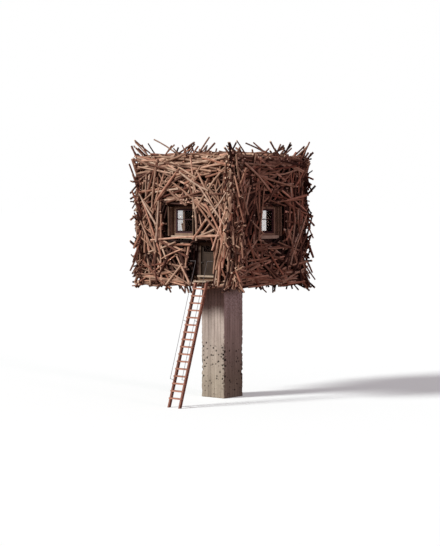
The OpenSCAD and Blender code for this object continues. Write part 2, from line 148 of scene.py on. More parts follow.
def stick_material():
    """Dry, mostly barkless branches; the tone attribute holds a stick's tone in red, darkened as painted
    shade deep in the nest and on the sides away from the sun, and its hue in green.
    """
    m, nt, b = new_material("stick_bark")
    sep = nt.nodes.new("ShaderNodeSeparateColor")
    nt.links.new(attribute(nt, "tone"), sep.inputs["Color"])
    base = ramp(nt, sep.outputs["Red"], [
        (0.0, (0.014, 0.004, 0.003)), (0.22, (0.055, 0.020, 0.014)),
        (0.45, (0.180, 0.086, 0.060)), (0.70, (0.350, 0.212, 0.152)),
        (0.88, (0.480, 0.335, 0.252)), (1.0, (0.570, 0.430, 0.345))])
    hue = ramp(nt, sep.outputs["Green"], [
        (0.0, (0.88, 0.98, 1.01)), (0.60, (0.97, 0.97, 0.95)), (1.0, (1.08, 0.88, 0.85))])
    grain = scaled(nt, "UV", (42.0, 2.2, 1.0), 1.0, 6.0)
    streak = ramp(nt, grain, [
        (0.28, (0.52, 0.47, 0.44)), (0.50, (0.95, 0.93, 0.92)), (0.75, (1.12, 1.10, 1.08))])
    col = mix(nt, "MULTIPLY", 1.0, base.outputs["Color"], hue.outputs["Color"])
    col = mix(nt, "MULTIPLY", 0.85, col, streak.outputs["Color"])
    patch = scaled(nt, "Object", EVEN, 5.0, 3.0)
    shade = ramp(nt, patch, [(0.36, (0.62, 0.55, 0.52)), (0.60, (1.05, 1.03, 1.02))])
    col = mix(nt, "MULTIPLY", 0.8, col, shade.outputs["Color"])
    nt.links.new(col, b.inputs["Base Color"])
    spread(nt, grain, 0.62, 0.88, b.inputs["Roughness"])
    b.inputs["Specular IOR Level"].default_value = 0.25
    bump(nt, b, grain, 0.55, 0.006)
    return m


def cut_material():
    """Sawn or broken stick ends: pale wood with rings."""
    m, nt, b = new_material("stick_cut_end")
    rings = nt.nodes.new("ShaderNodeTexWave")
    rings.wave_type = "RINGS"
    rings.rings_direction = "SPHERICAL"
    rings.inputs["Scale"].default_value = 9.0
    rings.inputs["Distortion"].default_value = 1.2
    co = nt.nodes.new("ShaderNodeTexCoord")
    nt.links.new(co.outputs["UV"], rings.inputs["Vector"])
    c = ramp(nt, rings.outputs["Fac"], [
        (0.0, (0.34, 0.215, 0.15)), (0.6, (0.54, 0.40, 0.30)), (1.0, (0.64, 0.50, 0.39))])
    nt.links.new(c.outputs["Color"], b.inputs["Base Color"])
    b.inputs["Roughness"].default_value = 0.85
    bump(nt, b, rings.outputs["Fac"], 0.3, 0.002)
    return m


def board_material(name, dark, mid, light, stretch, rough=0.75, depth=0.004):
    """Sawn timber; the grain runs along the axis that stretch leaves low."""
    m, nt, b = new_material(name)
    grain = scaled(nt, "Object", stretch, 1.0, 8.0, 0.62)
    c = ramp(nt, grain, [(0.25, dark), (0.50, mid), (0.78, light)])
    stain = scaled(nt, "Object", EVEN, 2.3, 3.0)
    s = ramp(nt, stain, [(0.3, (0.62, 0.60, 0.58)), (0.62, WHITE)])
    col = mix(nt, "MULTIPLY", 0.8, c.outputs["Color"], s.outputs["Color"])
    nt.links.new(col, b.inputs["Base Color"])
    spread(nt, grain, rough - 0.12, rough + 0.12, b.inputs["Roughness"])
    b.inputs["Specular IOR Level"].default_value = 0.3
    bump(nt, b, grain, 0.5, depth)
    return m


def concrete_material():
    """Board-marked concrete; the shade attribute holds the boards' tints, damp, pits, chips and bloom, and
    painted shade: the nest's shadow at the head, dark pits and chips, a darker foot on the sides away from
    the sun.
    """
    m, nt, b = new_material("board_marked_concrete")
    fine = scaled(nt, "Object", EVEN, 26.0, 8.0, 0.65)
    cloud = scaled(nt, "Object", (1.0, 1.0, 0.35), 2.4, 5.0, 0.6)
    streak = scaled(nt, "Object", (30.0, 30.0, 0.9), 1.0, 5.0, 0.6)
    c = ramp(nt, cloud, [
        (0.28, (0.300, 0.262, 0.238)), (0.50, (0.400, 0.355, 0.325)), (0.74, (0.470, 0.430, 0.395))])
    f = ramp(nt, fine, [(0.25, (0.66, 0.63, 0.61)), (0.52, WHITE), (0.80, (1.10, 1.10, 1.10))])
    col = mix(nt, "MULTIPLY", 0.8, c.outputs["Color"], f.outputs["Color"])
    w = ramp(nt, streak, [(0.30, (0.70, 0.66, 0.65)), (0.55, WHITE)])
    col = mix(nt, "MULTIPLY", 0.6, col, w.outputs["Color"])
    col = mix(nt, "MULTIPLY", 1.0, col, attribute(nt, "shade"))
    # blow holes: small pits painted in as dark spots of shade, thickest in the lower half
    co = nt.nodes.new("ShaderNodeTexCoord")
    cell = nt.nodes.new("ShaderNodeTexVoronoi")
    cell.inputs["Scale"].default_value = 8.0
    nt.links.new(co.outputs["Object"], cell.inputs["Vector"])
    pit_shade = ramp(nt, cell.outputs["Distance"], [(0.15, WHITE), (0.24, BLACK)])
    sep = nt.nodes.new("ShaderNodeSeparateXYZ")
    nt.links.new(co.outputs["Object"], sep.inputs["Vector"])
    low = nt.nodes.new("ShaderNodeMapRange")
    low.inputs["From Min"].default_value = 2.5
    low.inputs["From Max"].default_value = 1.4
    low.inputs["To Min"].default_value = 0.15
    low.inputs["To Max"].default_value = 1.0
    nt.links.new(sep.outputs["Z"], low.inputs["Value"])
    patch = ramp(nt, scaled(nt, "Object", EVEN, 3.1, 2.0), [(0.46, BLACK), (0.56, WHITE)])
    pit_shade_mask = mix(nt, "MULTIPLY", 1.0, pit_shade.outputs["Color"], patch.outputs["Color"])
    pit_shade_mask = mix(nt, "MULTIPLY", 1.0, pit_shade_mask, low.outputs["Result"])
    col = mix(nt, "MIX", pit_shade_mask, col, (0.045, 0.030, 0.026))
    nt.links.new(col, b.inputs["Base Color"])
    b.inputs["Roughness"].default_value = 0.9
    b.inputs["Specular IOR Level"].default_value = 0.25
    bump(nt, b, fine, 0.35, 0.008)
    return m


def metal_material(name, colour, rough, scale, metallic=0.85):
    m, nt, b = new_material(name)
    n = scaled(nt, "Object", EVEN, scale, 5.0)
    c = ramp(nt, n, [(0.3, tuple(0.55 * v for v in colour)), (0.6, colour)])
    nt.links.new(c.outputs["Color"], b.inputs["Base Color"])
    b.inputs["Metallic"].default_value = metallic
    spread(nt, n, rough - 0.1, rough + 0.15, b.inputs["Roughness"])
    bump(nt, b, n, 0.15, 0.001)
    return m


def glass_material():
    m, nt, b = new_material("window_glass")
    b.inputs["Base Color"].default_value = (0.93, 0.96, 0.97, 1.0)
    b.inputs["Transmission Weight"].default_value = 1.0
    b.inputs["IOR"].default_value = 1.45
    b.inputs["Alpha"].default_value = 0.16
    dirt = scaled(nt, "Object", EVEN, 3.0, 6.0)
    spread(nt, dirt, 0.0, 0.03, b.inputs["Roughness"])
    return m


STICK = stick_material()
CUT = cut_material()
CONCRETE = concrete_material()
GLASS = glass_material()
STEEL = metal_material("galvanised_rod", (0.10, 0.092, 0.10), 0.45, 60.0, 0.35)
IRON = metal_material("black_iron", (0.10, 0.09, 0.085), 0.5, 90.0)

ALONG_X = (1.3, 34.0, 34.0)
ALONG_Y = (34.0, 1.3, 34.0)
ALONG_Z = (34.0, 34.0, 1.3)
# the cabin's boards are coloured near black: painted shade for the gaps in the nest and the rooms seen
# through the windows
SHADE_DARK_WALL = board_material(
    "cabin_boards_shade_dark", (0.022, 0.009, 0.008), (0.045, 0.021, 0.017), (0.085, 0.045, 0.033), ALONG_Z)
FLOOR = board_material(
    "floor_boards", (0.10, 0.055, 0.035), (0.19, 0.115, 0.072), (0.28, 0.18, 0.115), ALONG_Y)
BEAM = board_material(
    "beam_timber", (0.08, 0.045, 0.03), (0.16, 0.095, 0.06), (0.24, 0.15, 0.10), ALONG_X)
FRAME = board_material(
    "window_frame_wood", (0.13, 0.080, 0.056), (0.235, 0.155, 0.110), (0.36, 0.26, 0.19), ALONG_Z)
# the door frame's timber is coloured near black as painted shade of the deep doorway
SHADE_DARK_JAMB = board_material(
    "door_frame_wood_shade_dark", (0.028, 0.016, 0.010), (0.065, 0.038, 0.024), (0.13, 0.082, 0.052), ALONG_Z)
SASH = board_material(
    "window_sash_wood", (0.022, 0.006, 0.010), (0.045, 0.014, 0.020), (0.085, 0.034, 0.038), ALONG_Z, 0.55)
SILL = board_material(
    "window_sill_wood", (0.24, 0.185, 0.14), (0.42, 0.345, 0.27), (0.56, 0.48, 0.39), ALONG_X)
# the door's timber is coloured near black as painted shade of the deep doorway
SHADE_DARK_DOOR = board_material(
    "door_wood_shade_dark", (0.010, 0.005, 0.004), (0.028, 0.015, 0.008), (0.070, 0.042, 0.020), ALONG_Z, 0.6)
TREAD = board_material(
    "ladder_tread_wood", (0.22, 0.095, 0.070), (0.42, 0.215, 0.155), (0.56, 0.33, 0.25), ALONG_X)
STRINGER = board_material(
    "ladder_stringer_wood", (0.10, 0.036, 0.028), (0.23, 0.100, 0.070), (0.40, 0.22, 0.155), ALONG_Z)

CABIN_WALLS = (
    "front_wall_left", "front_wall_right", "front_wall_over_door", "right_wall", "back_wall", "left_wall")
for names, material in (
    (("floor_deck", "roof_deck"), FLOOR),
    (("bearers", "floor_joists", "roof_joists"), BEAM),
    (CABIN_WALLS, SHADE_DARK_WALL),
    (("window_frames",), FRAME),
    (("door_frame", "door_stops"), SHADE_DARK_JAMB),
    (("window_sashes",), SASH),
    (("window_sills", "threshold", "landing"), SILL),
    (("window_panes", "door_pane"), GLASS),
    (("door_leaf",), SHADE_DARK_DOOR),
    (("door_knob", "hinge_pins", "hinge_sleeves"), IRON),
    (("stringer_left", "stringer_right"), STRINGER),
    (("ladder_treads",), TREAD),
    (("handrail_left", "handrail_right"), STEEL),
):
    for name in names:
        node = frame["nodes"][name]
        node.data.materials.clear()
        node.data.materials.append(material)


def piece(name, verts, faces, materials, slots=None, smooth=True):
    """A new object; slots holds each face's material, smooth one value or one for each face."""
    mesh = bpy.data.meshes.new(name)
    mesh.from_pydata(verts, [], faces)
    for material in materials:
        mesh.materials.append(material)
    if slots is not None:
        mesh.polygons.foreach_set("material_index", slots)
    if isinstance(smooth, bool):
        smooth = [smooth] * len(faces)
    mesh.polygons.foreach_set("use_smooth", smooth)
    mesh.update()
    made = bpy.data.objects.new(name, mesh)
    scene.collection.objects.link(made)
    return made


def paint(target, name, colours):
    """Give each vertex its colour, in an attribute that a material reads by name."""
    layer = target.data.color_attributes.new(name, "FLOAT_COLOR", "POINT")
    flat = np.ones((len(colours), 4), np.float32)
    flat[:, :3] = colours
    layer.data.foreach_set("color", flat.ravel())


# Walls and the pillar's sides are numbered 0 front (-Y), 1 right (+X), 2 back (+Y), 3 left (-X).
# On the sides away from the sun the sticks' tones are darkened as painted shade, and the pillar's foot
# gets painted shade on top of its damp; these sides also carry the pale bloom.
DAMP_AND_SHADED_SIDES = (1, 2)  # away from the midday sun


# ------------------------------------------------------------------ sticks
class Sticks:
    """A bundle of round sticks, each bent a little and cut square at its ends."""

    SIDES = 7
    RINGS = 6
    SHORTEST = 0.05

    def __init__(self, seed, shade_power=1.0):
        self.rng = random.Random(seed)
        self.hues = random.Random(seed + 7)
        self.shade_power = shade_power
        self.verts = []
        self.faces = []
        self.slots = []
        self.smooth = []
        self.uvs = []
        self.tones = []

    def add(self, start, end, radius, tone, bend=0.03, taper=0.22):
        """One stick; tone runs from 0, dark, to 1, pale."""
        rng = self.rng
        start = np.array(start, float)
        along = np.array(end, float) - start
        length = float(np.linalg.norm(along))
        if length < self.SHORTEST:
            return
        along /= length
        across = np.cross(along, (0.0, 0.0, 1.0) if abs(along[2]) < 0.9 else (1.0, 0.0, 0.0))
        across /= np.linalg.norm(across)
        third = np.cross(along, across)

        def sideways(limit):
            angle = rng.uniform(0, 2 * math.pi)
            way = math.cos(angle) * across + math.sin(angle) * third
            return way * rng.uniform(-limit, limit) * bend * length

        bow = sideways(1)
        kink = sideways(0.6)
        kink_at = rng.uniform(0.3, 0.7)
        if rng.random() < 0.5:
            taper = -taper
        twist = rng.uniform(0, 2 * math.pi)
        # a power above 1 darkens the tone as painted shade
        colour = (tone ** self.shade_power, self.hues.random(), 0.0)
        rows = []
        for i in range(self.RINGS):
            q = i / (self.RINGS - 1)
            centre = start + along * (length * q) + bow * 4 * q * (1 - q)
            centre = centre + kink * max(0.0, 1 - abs(q - kink_at) / 0.35)
            here = radius * (1 + taper * (q - 0.5)) * (1 + rng.uniform(-0.07, 0.07))
            row = []
            for j in range(self.SIDES):
                angle = twist + 2 * math.pi * j / self.SIDES
                row.append(centre + here * (math.cos(angle) * across + math.sin(angle) * third))
            rows.append(row)
        self.skin(rows, length, 2 * math.pi * radius, rng.uniform(0, 50), colour)
        self.cap(rows[0], True, colour)
        self.cap(rows[-1], False, colour)

    def skin(self, rows, length, around, offset, colour):
        """The bark, as quads between the rows, with UVs in metres."""
        base = len(self.verts)
        sides = self.SIDES
        spans = self.RINGS - 1
        for row in rows:
            self.verts.extend(map(tuple, row))
            self.tones.extend([colour] * sides)
        for i in range(spans):
            low = base + i * sides
            for j in range(sides):
                k = (j + 1) % sides
                self.faces.append((low + j, low + k, low + sides + k, low + sides + j))
                self.slots.append(0)
                self.smooth.append(True)
                u0 = around * j / sides + offset
                u1 = around * (j + 1) / sides + offset
                v0 = length * i / spans + offset
                v1 = length * (i + 1) / spans + offset
                self.uvs.extend(((u0, v0), (u1, v0), (u1, v1), (u0, v1)))

    def cap(self, row, flip, colour):
        """A cut end, with its own vertices so that its rim stays sharp."""
        base = len(self.verts)
        self.verts.extend(map(tuple, row))
        self.tones.extend([colour] * self.SIDES)
        order = list(range(self.SIDES))
        if flip:
            order.reverse()
        self.faces.append(tuple(base + j for j in order))
        self.slots.append(1)
        self.smooth.append(False)
        for j in order:
            angle = 2 * math.pi * j / self.SIDES
            self.uvs.append((0.55 * math.cos(angle), 0.55 * math.sin(angle)))

    def make(self, name):
        made = piece(name, self.verts, self.faces, [STICK, CUT], self.slots, self.smooth)
        layer = made.data.uv_layers.new(name="UVMap")
        layer.data.foreach_set("uv", [c for uv in self.uvs for c in uv])
        paint(made, "tone", self.tones)
        return made


front_low, front_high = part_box("front_nest")
NEST_BOTTOM = front_low.z
NEST_TOP = front_high.z
FACE_Y = -front_low.y + 0.08  # nominal faces of the sticks
FACE_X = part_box("right_nest")[1].x + 0.05
DOOR_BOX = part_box("door_frame")
LANDING_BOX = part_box("landing")
PILLAR_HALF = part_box("pillar")[1].x


def cad_opening(side):
    """[u0, u1, z0, z1] of the window frame on a wall, found from the frames' own vertices."""
    places = []
    for vertex in frame["nodes"]["window_frames"].data.vertices:
        x, y, z = vertex.co
        along, out = ((x, -y), (y, x), (-x, y), (-y, -x))[side]
        places.append((out, along, z))
    far = max(out for out, along, z in places)
    us = [along for out, along, z in places if out > far - 0.12]
    zs = [z for out, along, z in places if out > far - 0.12]
    return [min(us), max(us), min(zs), max(zs)]


def world(side, u, out, z):
    """From a wall's own frame to the house's: u along the wall, out away from its nominal face."""
    d = (FACE_Y, FACE_X)[side % 2] + out
    return ((u, -d, z), (d, u, z), (-u, d, z), (-d, -u, z))[side]


def nest_depth(side):
    """How far the boarded wall lies behind the nominal face."""
    return (FACE_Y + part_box("front_wall_left")[0].y, FACE_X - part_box("right_wall")[1].x)[side % 2]


def hits(hole, a, b, margin):
    """Does the line a-b in the wall's plane cross the hole grown by the margin?"""
    t0 = 0.0
    t1 = 1.0
    for p, q, low, high in ((a[0], b[0], hole[0] - margin, hole[1] + margin),
                            (a[1], b[1], hole[2] - margin, hole[3] + margin)):
        d = q - p
        if abs(d) < 1e-9:
            if p < low or p > high:
                return False
            continue
        enter, leave = sorted(((low - p) / d, (high - p) / d))
        t0 = max(t0, enter)
        t1 = min(t1, leave)
        if t0 > t1:
            return False
    return True


class WallWeave:
    """All the sticks of one wall. Places in it are (u, z): along the wall, and up."""

    INNER = 330
    MIDDLE = 250
    OUTER = 225
    PALE = 34
    TOP_RIM = 40
    BOTTOM_RIM = 30
    STUBS = 42
    CORNER = 46
    SIDE_ENDS = 44
    TOP_ENDS = 15
    BOTTOM_ENDS = 10
    TRIES = 40
    BENDS = (0.012, 0.025, 0.04, 0.055)

    def __init__(self, side, seed):
        self.side = side
        self.rng = random.Random(seed)
        # walls away from the sun get darker sticks: painted shade
        self.sticks = Sticks(seed + 1, 1.5 if side in DAMP_AND_SHADED_SIDES else 1.0)
        self.half = (FACE_X, FACE_Y)[side % 2] - 0.07
        self.bottom = NEST_BOTTOM + 0.08
        self.top = NEST_TOP + 0.05
        u0, u1, z0, z1 = cad_opening(side)
        self.holes = [[u0 - 0.13, u1 + 0.13, z0 - 0.13, z1 - 0.02]]
        if side == 0:
            low, high = DOOR_BOX
            self.holes.append([low.x - 0.03, high.x + 0.01, LANDING_BOX[0].z - 0.02, high.z - 0.02])

    def near(self, u, z):
        """Distance to the nearest opening, and whether it lies to the side rather than above or below."""
        best = None
        for u0, u1, z0, z1 in self.holes:
            du = max(u0 - u, 0, u - u1)
            dz = max(z0 - z, 0, z - z1)
            d = math.hypot(du, dz)
            if best is None or d < best[0]:
                best = (d, du > dz)
        return best

    def clear(self, a, b, margin):
        return not any(hits(hole, a, b, margin) for hole in self.holes)

    def put(self, a, b, out_a, out_b, radius, tone, bend=0.03):
        side = self.side
        self.sticks.add(world(side, a[0], out_a, a[1]), world(side, b[0], out_b, b[1]), radius, tone, bend)

    def lay(self, a, b, out_a, out_b, radius, tone, bend=0.03):
        """One stick in the wall, held back where it passes the head of the ladder."""
        low_enough = min(a[1], b[1]) < LANDING_BOX[1].z + 0.1
        if self.side == 0 and low_enough and max(a[0], b[0]) > 0.5 and min(a[0], b[0]) < 1.46:
            out_a = min(out_a, -0.04 - radius)
            out_b = min(out_b, -0.04 - radius)
            bend = 0.012
        self.put(a, b, out_a, out_b, radius, tone, bend)

    def angle_at(self, u, z):
        """Sticks follow an opening's or a rim's edge near it, and lie at any angle elsewhere."""
        rng = self.rng
        angle = rng.uniform(0, math.pi)
        distance, beside = self.near(u, z)
        if distance < 0.5:
            return (math.pi / 2 if beside else 0.0) + rng.gauss(0, 0.34)
        if z > self.top - 0.7 and rng.random() < 0.7:
            return rng.gauss(0, 0.25)
        if z < self.bottom + 0.6 and rng.random() < 0.75:
            return rng.gauss(0, 0.30)
        if abs(u) > self.half - 0.6 and rng.random() < 0.6:
            return math.pi / 2 + rng.gauss(0, 0.40)
        return angle

    def weave(self, depth, length, tone, over, tilt):
        """One stick that keeps clear of the openings; over is how far it may run past the edges."""
        rng = self.rng
        for _ in range(self.TRIES):
            u = rng.uniform(-self.half, self.half)
            z = rng.uniform(self.bottom, self.top)
            long = rng.uniform(*length)
            angle = self.angle_at(u, z)
            radius = rng.uniform(0.033, 0.050)
            du = math.cos(angle) * long / 2
            dz = math.sin(angle) * long / 2
            # slide it back inside where it would run too far past an edge
            u_max = self.half + rng.uniform(-0.06, over)
            z_max = self.top + rng.uniform(-0.06, over)
            z_min = self.bottom - rng.uniform(-0.06, 0.25 * over)
            if 2 * abs(dz) > z_max - z_min:
                dz = math.copysign((z_max - z_min) / 2, dz)
            if 2 * abs(du) > 2 * u_max:
                du = math.copysign(u_max, du)
            u = max(-u_max + abs(du), min(u_max - abs(du), u))
            z = max(z_min + abs(dz), min(z_max - abs(dz), z))
            a = (u - du, z - dz)
            b = (u + du, z + dz)
            if not self.clear(a, b, 0.01 + radius):
                continue
            out = -rng.uniform(*depth)
            lift = max(-0.13, min(0.13, rng.gauss(0, tilt) * long / 2))
            shade = rng.uniform(*tone)
            self.lay(a, b, out - lift, out + lift, radius, shade, rng.choice(self.BENDS))
            return

    def layers(self):
        """Sticks deep in the wall get dark tones as painted shade, paler and longer ones lie further out.
        """
        for _ in range(self.INNER):
            self.weave((0.20, 0.38), (0.9, 2.2), (0.0, 0.10), 0.0, 0.04)
        for _ in range(self.MIDDLE):
            self.weave((0.07, 0.22), (0.9, 2.6), (0.02, 0.34), 0.10, 0.06)
        for i in range(self.OUTER):
            tone = (0.20, 0.60) if i % 5 < 2 else (0.58, 1.0)
            self.weave((-0.07, 0.07), (1.0, 3.0), tone, 0.18, 0.06)

    def rim(self, height, count):
        """Lying sticks along the top or the bottom rim."""
        rng = self.rng
        for _ in range(count):
            long = rng.uniform(0.9, 2.6)
            u = rng.uniform(-self.half + 0.1, self.half - 0.1)
            z = height + rng.uniform(-0.13, 0.15)
            rise = rng.gauss(0, 0.09) * long / 2
            u0 = max(u - long / 2, -self.half - rng.uniform(0, 0.3))
            u1 = min(u + long / 2, self.half + rng.uniform(0, 0.3))
            a = (u0, z - rise)
            b = (u1, z + rise)
            if not self.clear(a, b, 0.05):
                continue
            out = -rng.uniform(-0.04, 0.2)
            self.lay(a, b, out, out, rng.uniform(0.034, 0.052), rng.uniform(0.35, 0.95))

    def stubs(self):
        """Cut ends that point out of the wall, away from the openings and the ladder."""
        rng = self.rng
        for _ in range(self.STUBS):
            for _ in range(20):
                u = rng.uniform(-self.half, self.half)
                z = rng.uniform(self.bottom + 0.1, self.top - 0.1)
                by_ladder = self.side == 0 and z < 5.2 and 0.3 < u < 1.65
                if self.near(u, z)[0] > 0.25 and not by_ladder:
                    break
            else:
                continue
            long = rng.uniform(0.3, 0.6)
            du = rng.gauss(0, 0.18)
            dz = rng.gauss(0, 0.18)
            tip = rng.uniform(0.0, 0.09)
            radius = rng.uniform(0.030, 0.052)
            self.put((u, z), (u + du, z + dz), tip - long, tip, radius, rng.uniform(0.35, 0.9), 0.01)

    def corner(self):
        """Upright sticks that lap the corner on this wall's right, some thick and cut blunt."""
        rng = self.rng
        for i in range(self.CORNER):
            long = rng.uniform(0.6, 1.9)
            z = rng.uniform(self.bottom + long / 2 - 0.1, self.top - long / 2 + 0.25)
            u = self.half + rng.uniform(-0.30, 0.08)
            out = rng.uniform(-0.24, 0.02)
            lean = rng.gauss(0, 0.20) * long / 2
            tip = rng.gauss(0, 0.06) * long / 2
            radius = rng.uniform(0.052, 0.070) if i % 4 == 0 else rng.uniform(0.034, 0.050)
            tone = rng.uniform(0.15, 0.85)
            self.put((u - lean, z - long / 2), (u + lean, z + long / 2), out - tip, out + tip,
                     radius, tone, 0.02)

    def side_ends(self):
        """Loose ends past the two side edges, every other one steep."""
        rng = self.rng
        for way in (-1, 1):
            for i in range(self.SIDE_ENDS):
                z = rng.uniform(self.bottom + 0.1, self.top)
                long = rng.uniform(0.8, 1.7)
                if i % 2:
                    angle = rng.choice((-1, 1)) * rng.uniform(0.55, 1.28)
                else:
                    angle = max(-1.1, min(1.1, rng.gauss(0, 0.6)))
                if angle > 0:
                    z = min(z, self.top + 0.55 - long * math.sin(angle))
                else:
                    z = max(z, self.bottom - 0.2 - long * math.sin(angle))
                u1 = way * (self.half + rng.uniform(0.15, 0.56))
                u0 = u1 - way * long * math.cos(angle)
                out0 = -rng.uniform(0.05, 0.35)
                out1 = -rng.uniform(-0.02, 0.25)
                radius = rng.uniform(0.028, 0.044)
                tone = rng.uniform(0.15, 0.75)
                self.put((u0, z), (u1, z + long * math.sin(angle)), out0, out1, radius, tone)

    def top_ends(self):
        """Loose ends up off the top."""
        rng = self.rng
        for _ in range(self.TOP_ENDS):
            u = rng.uniform(-self.half + 0.2, self.half - 0.2)
            long = rng.uniform(1.0, 1.9)
            angle = rng.choice((-1, 1)) * rng.uniform(0.5, 1.25)
            z = self.top + rng.uniform(0.25, 0.80)
            tip = max(-self.half - 0.35, min(self.half + 0.35, u + long * math.sin(angle)))
            out0 = -rng.uniform(0.1, 0.4)
            out1 = -rng.uniform(0.0, 0.3)
            radius = rng.uniform(0.028, 0.042)
            self.put((u, z - long * math.cos(angle)), (tip, z), out0, out1, radius, rng.uniform(0.2, 0.8))

    def bottom_ends(self):
        """Loose ends down from the bottom, clear of the ladder."""
        rng = self.rng
        for _ in range(self.BOTTOM_ENDS):
            u = rng.uniform(-self.half + 0.1, self.half - 0.1)
            if self.side == 0 and 0.0 < u < 1.9:
                continue
            long = rng.uniform(0.6, 1.0)
            angle = rng.choice((-1, 1)) * rng.uniform(0.4, 1.1)
            z = self.bottom - rng.uniform(0.15, 0.38)
            out0 = -rng.uniform(0.05, 0.4)
            out1 = -rng.uniform(0.0, 0.3)
            radius = rng.uniform(0.028, 0.044)
            tone = rng.uniform(0.15, 0.6)
            self.put((u, z + long * math.cos(angle)), (u + 0.6 * long * math.sin(angle), z), out0, out1,
                     radius, tone)

    def pale(self):
        """Long, mostly pale sticks laid last, on the outside of the weave."""
        for _ in range(self.PALE):
            self.weave((-0.13, -0.03), (1.2, 2.8), (0.66, 1.0), 0.10, 0.03)

    def door_sticks(self):
        """One stick across the door's head, and thick ones that lean in towards its foot."""
        rng = self.rng
        right = DOOR_BOX[1].x
        head = DOOR_BOX[1].z
        self.put((right - 3.3, head + 0.08), (right + 0.5, head + 0.30), 0.09, 0.12, 0.044, 0.95, 0.015)
        for i in range(6):
            foot = (right + 0.10 + 0.13 * i, head - 1.25 + 0.17 * i)
            u = right + 0.42 + 0.20 * i + rng.uniform(0.0, 0.2)
            z = head + 0.15 + 0.36 * i
            radius = rng.uniform(0.044, 0.058)
            self.put(foot, (min(u, FACE_X), z), 0.04, 0.12, radius, rng.uniform(0.55, 0.80))

    def build(self):
        self.layers()
        self.rim(self.top - 0.12, self.TOP_RIM)
        self.rim(self.bottom + 0.10, self.BOTTOM_RIM)
        self.stubs()
        self.corner()
        self.side_ends()
        self.top_ends()
        self.bottom_ends()
        self.pale()
        if self.side == 0:
            self.door_sticks()
        return self.sticks


def lying_layer(seed, z0, z1, dome, over, count, holes):
    """Sticks lying in all directions over the roof or under the floor."""
    rng = random.Random(seed)
    sticks = Sticks(seed + 1)
    for _ in range(count):
        for _ in range(30):
            long = rng.uniform(0.8, 2.3)
            angle = rng.uniform(0, math.pi)
            x = rng.uniform(-FACE_X, FACE_X)
            y = rng.uniform(-FACE_Y, FACE_Y)
            dx = math.cos(angle) * long / 2
            dy = math.sin(angle) * long / 2
            a = (x - dx, y - dy)
            b = (x + dx, y + dy)
            if max(abs(a[0]), abs(b[0])) > FACE_X + over or max(abs(a[1]), abs(b[1])) > FACE_Y + over:
                continue
            if any(hits(hole, a, b, 0.06) for hole in holes):
                continue
            q = rng.random()
            z = z0 + (z1 - z0) * q + dome * (1 - (x / FACE_X) ** 2) * (1 - (y / FACE_Y) ** 2)
            rise = rng.gauss(0, 0.05)
            radius = rng.uniform(0.033, 0.050)
            # deeper sticks get darker tones: painted shade
            sticks.add((*a, z - rise), (*b, z + rise), radius, 0.05 + 0.5 * q + rng.uniform(0, 0.4))
            break
    return sticks


for side, (name, logs, seed) in enumerate((
        ("front_nest", "front_logs", 101), ("right_nest", "right_logs", 202),
        ("back_nest", "back_logs", 303), ("left_nest", "left_logs", 404))):
    made = WallWeave(side, seed).build().make(name + "_sticks")
    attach(made, "house")
    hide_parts(name, logs)

ROOF_STICKS = 620
UNDER_STICKS = 480
ROOF_DOME = 0.17  # how much higher the roof's sticks lie in its middle
PILLAR_HOLE = (-PILLAR_HALF, PILLAR_HALF, -PILLAR_HALF, PILLAR_HALF)
LADDER_HOLE = (0.45, 1.5, -3.0, -2.42)

roof = lying_layer(505, NEST_TOP - 0.22, NEST_TOP + 0.14, ROOF_DOME, 0.14, ROOF_STICKS, ())
made = roof.make("roof_nest_sticks")
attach(made, "house")
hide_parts("roof_nest", "roof_logs")

under = lying_layer(
    606, NEST_BOTTOM + 0.24, NEST_BOTTOM + 0.05, 0.0, -0.06, UNDER_STICKS, (PILLAR_HOLE, LADDER_HOLE))
made = under.make("under_nest_sticks")
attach(made, "house")
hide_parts("under_nest", "under_logs")

# --------------------------------------------------- boards round the windows
CHAMFER = 0.006
# each lining board: its gap from the frame's edge, its width and its depth
LININGS = ((0.014, 0.030, 0.17), (0.062, 0.028, 0.28))


def board(verts, faces, side, along, outward, upward):
    """A chamfered board in a wall's own frame, from three ranges."""
    u0, u1 = along
    o0, o1 = outward
    z0, z1 = upward
    c = CHAMFER
    base = len(verts)
    for z, inset in ((z0, c), (z0 + c, 0.0), (z1 - c, 0.0), (z1, c)):
        for u, out in (
            (u0 + inset, o0 + c), (u0 + c, o0 + inset), (u1 - c, o0 + inset), (u1 - inset, o0 + c),
            (u1 - inset, o1 - c), (u1 - c, o1 - inset), (u0 + c, o1 - inset), (u0 + inset, o1 - c),
        ):
            verts.append(world(side, u, out, z))
    for j in range(3):
        low = base + j * 8
        for i in range(8):
            k = (i + 1) % 8
            faces.append((low + i, low + k, low + 8 + k, low + 8 + i))
    faces.append(tuple(base + i for i in range(7, -1, -1)))
    faces.append(tuple(base + 24 + i for i in range(8)))


def window_linings():
    """Two upright boards on each side of each window, between the sticks and the frame."""
    verts = []
    faces = []
    rng = random.Random(31)
    for side in range(4):
        u0, u1, z0, z1 = cad_opening(side)
        reach = -nest_depth(side)
        for edge, way in ((u0, -1), (u1, 1)):
            for gap, wide, deep in LININGS:
                near_edge = edge + way * gap
                far_edge = near_edge + way * wide
                top = z1 + rng.uniform(0.0, 0.03)
                along = sorted((near_edge, far_edge))
                board(verts, faces, side, along, (reach + 0.01, reach + 0.01 + deep), (z0 - 0.02, top))
    return piece("window_reveal_boards", verts, faces, [FRAME], None, False)


made = window_linings()
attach(made, "house")

# ------------------------------------------------------------------ pillar
BOARDS = 7  # on each side of the shuttering
CUT_BACK = 0.022  # from the arris to the first board
EDGE_INSET = 0.006
STEPS_ON_A_BOARD = (0.14, 0.26, 0.38, 0.50, 0.62, 0.74, 0.86)
PILLAR_ROWS = 200
SIDE_PITS = 110
ARRIS_PITS = 11
ARRIS_WIDTH = 0.09  # how far in from an arris the chipping reaches
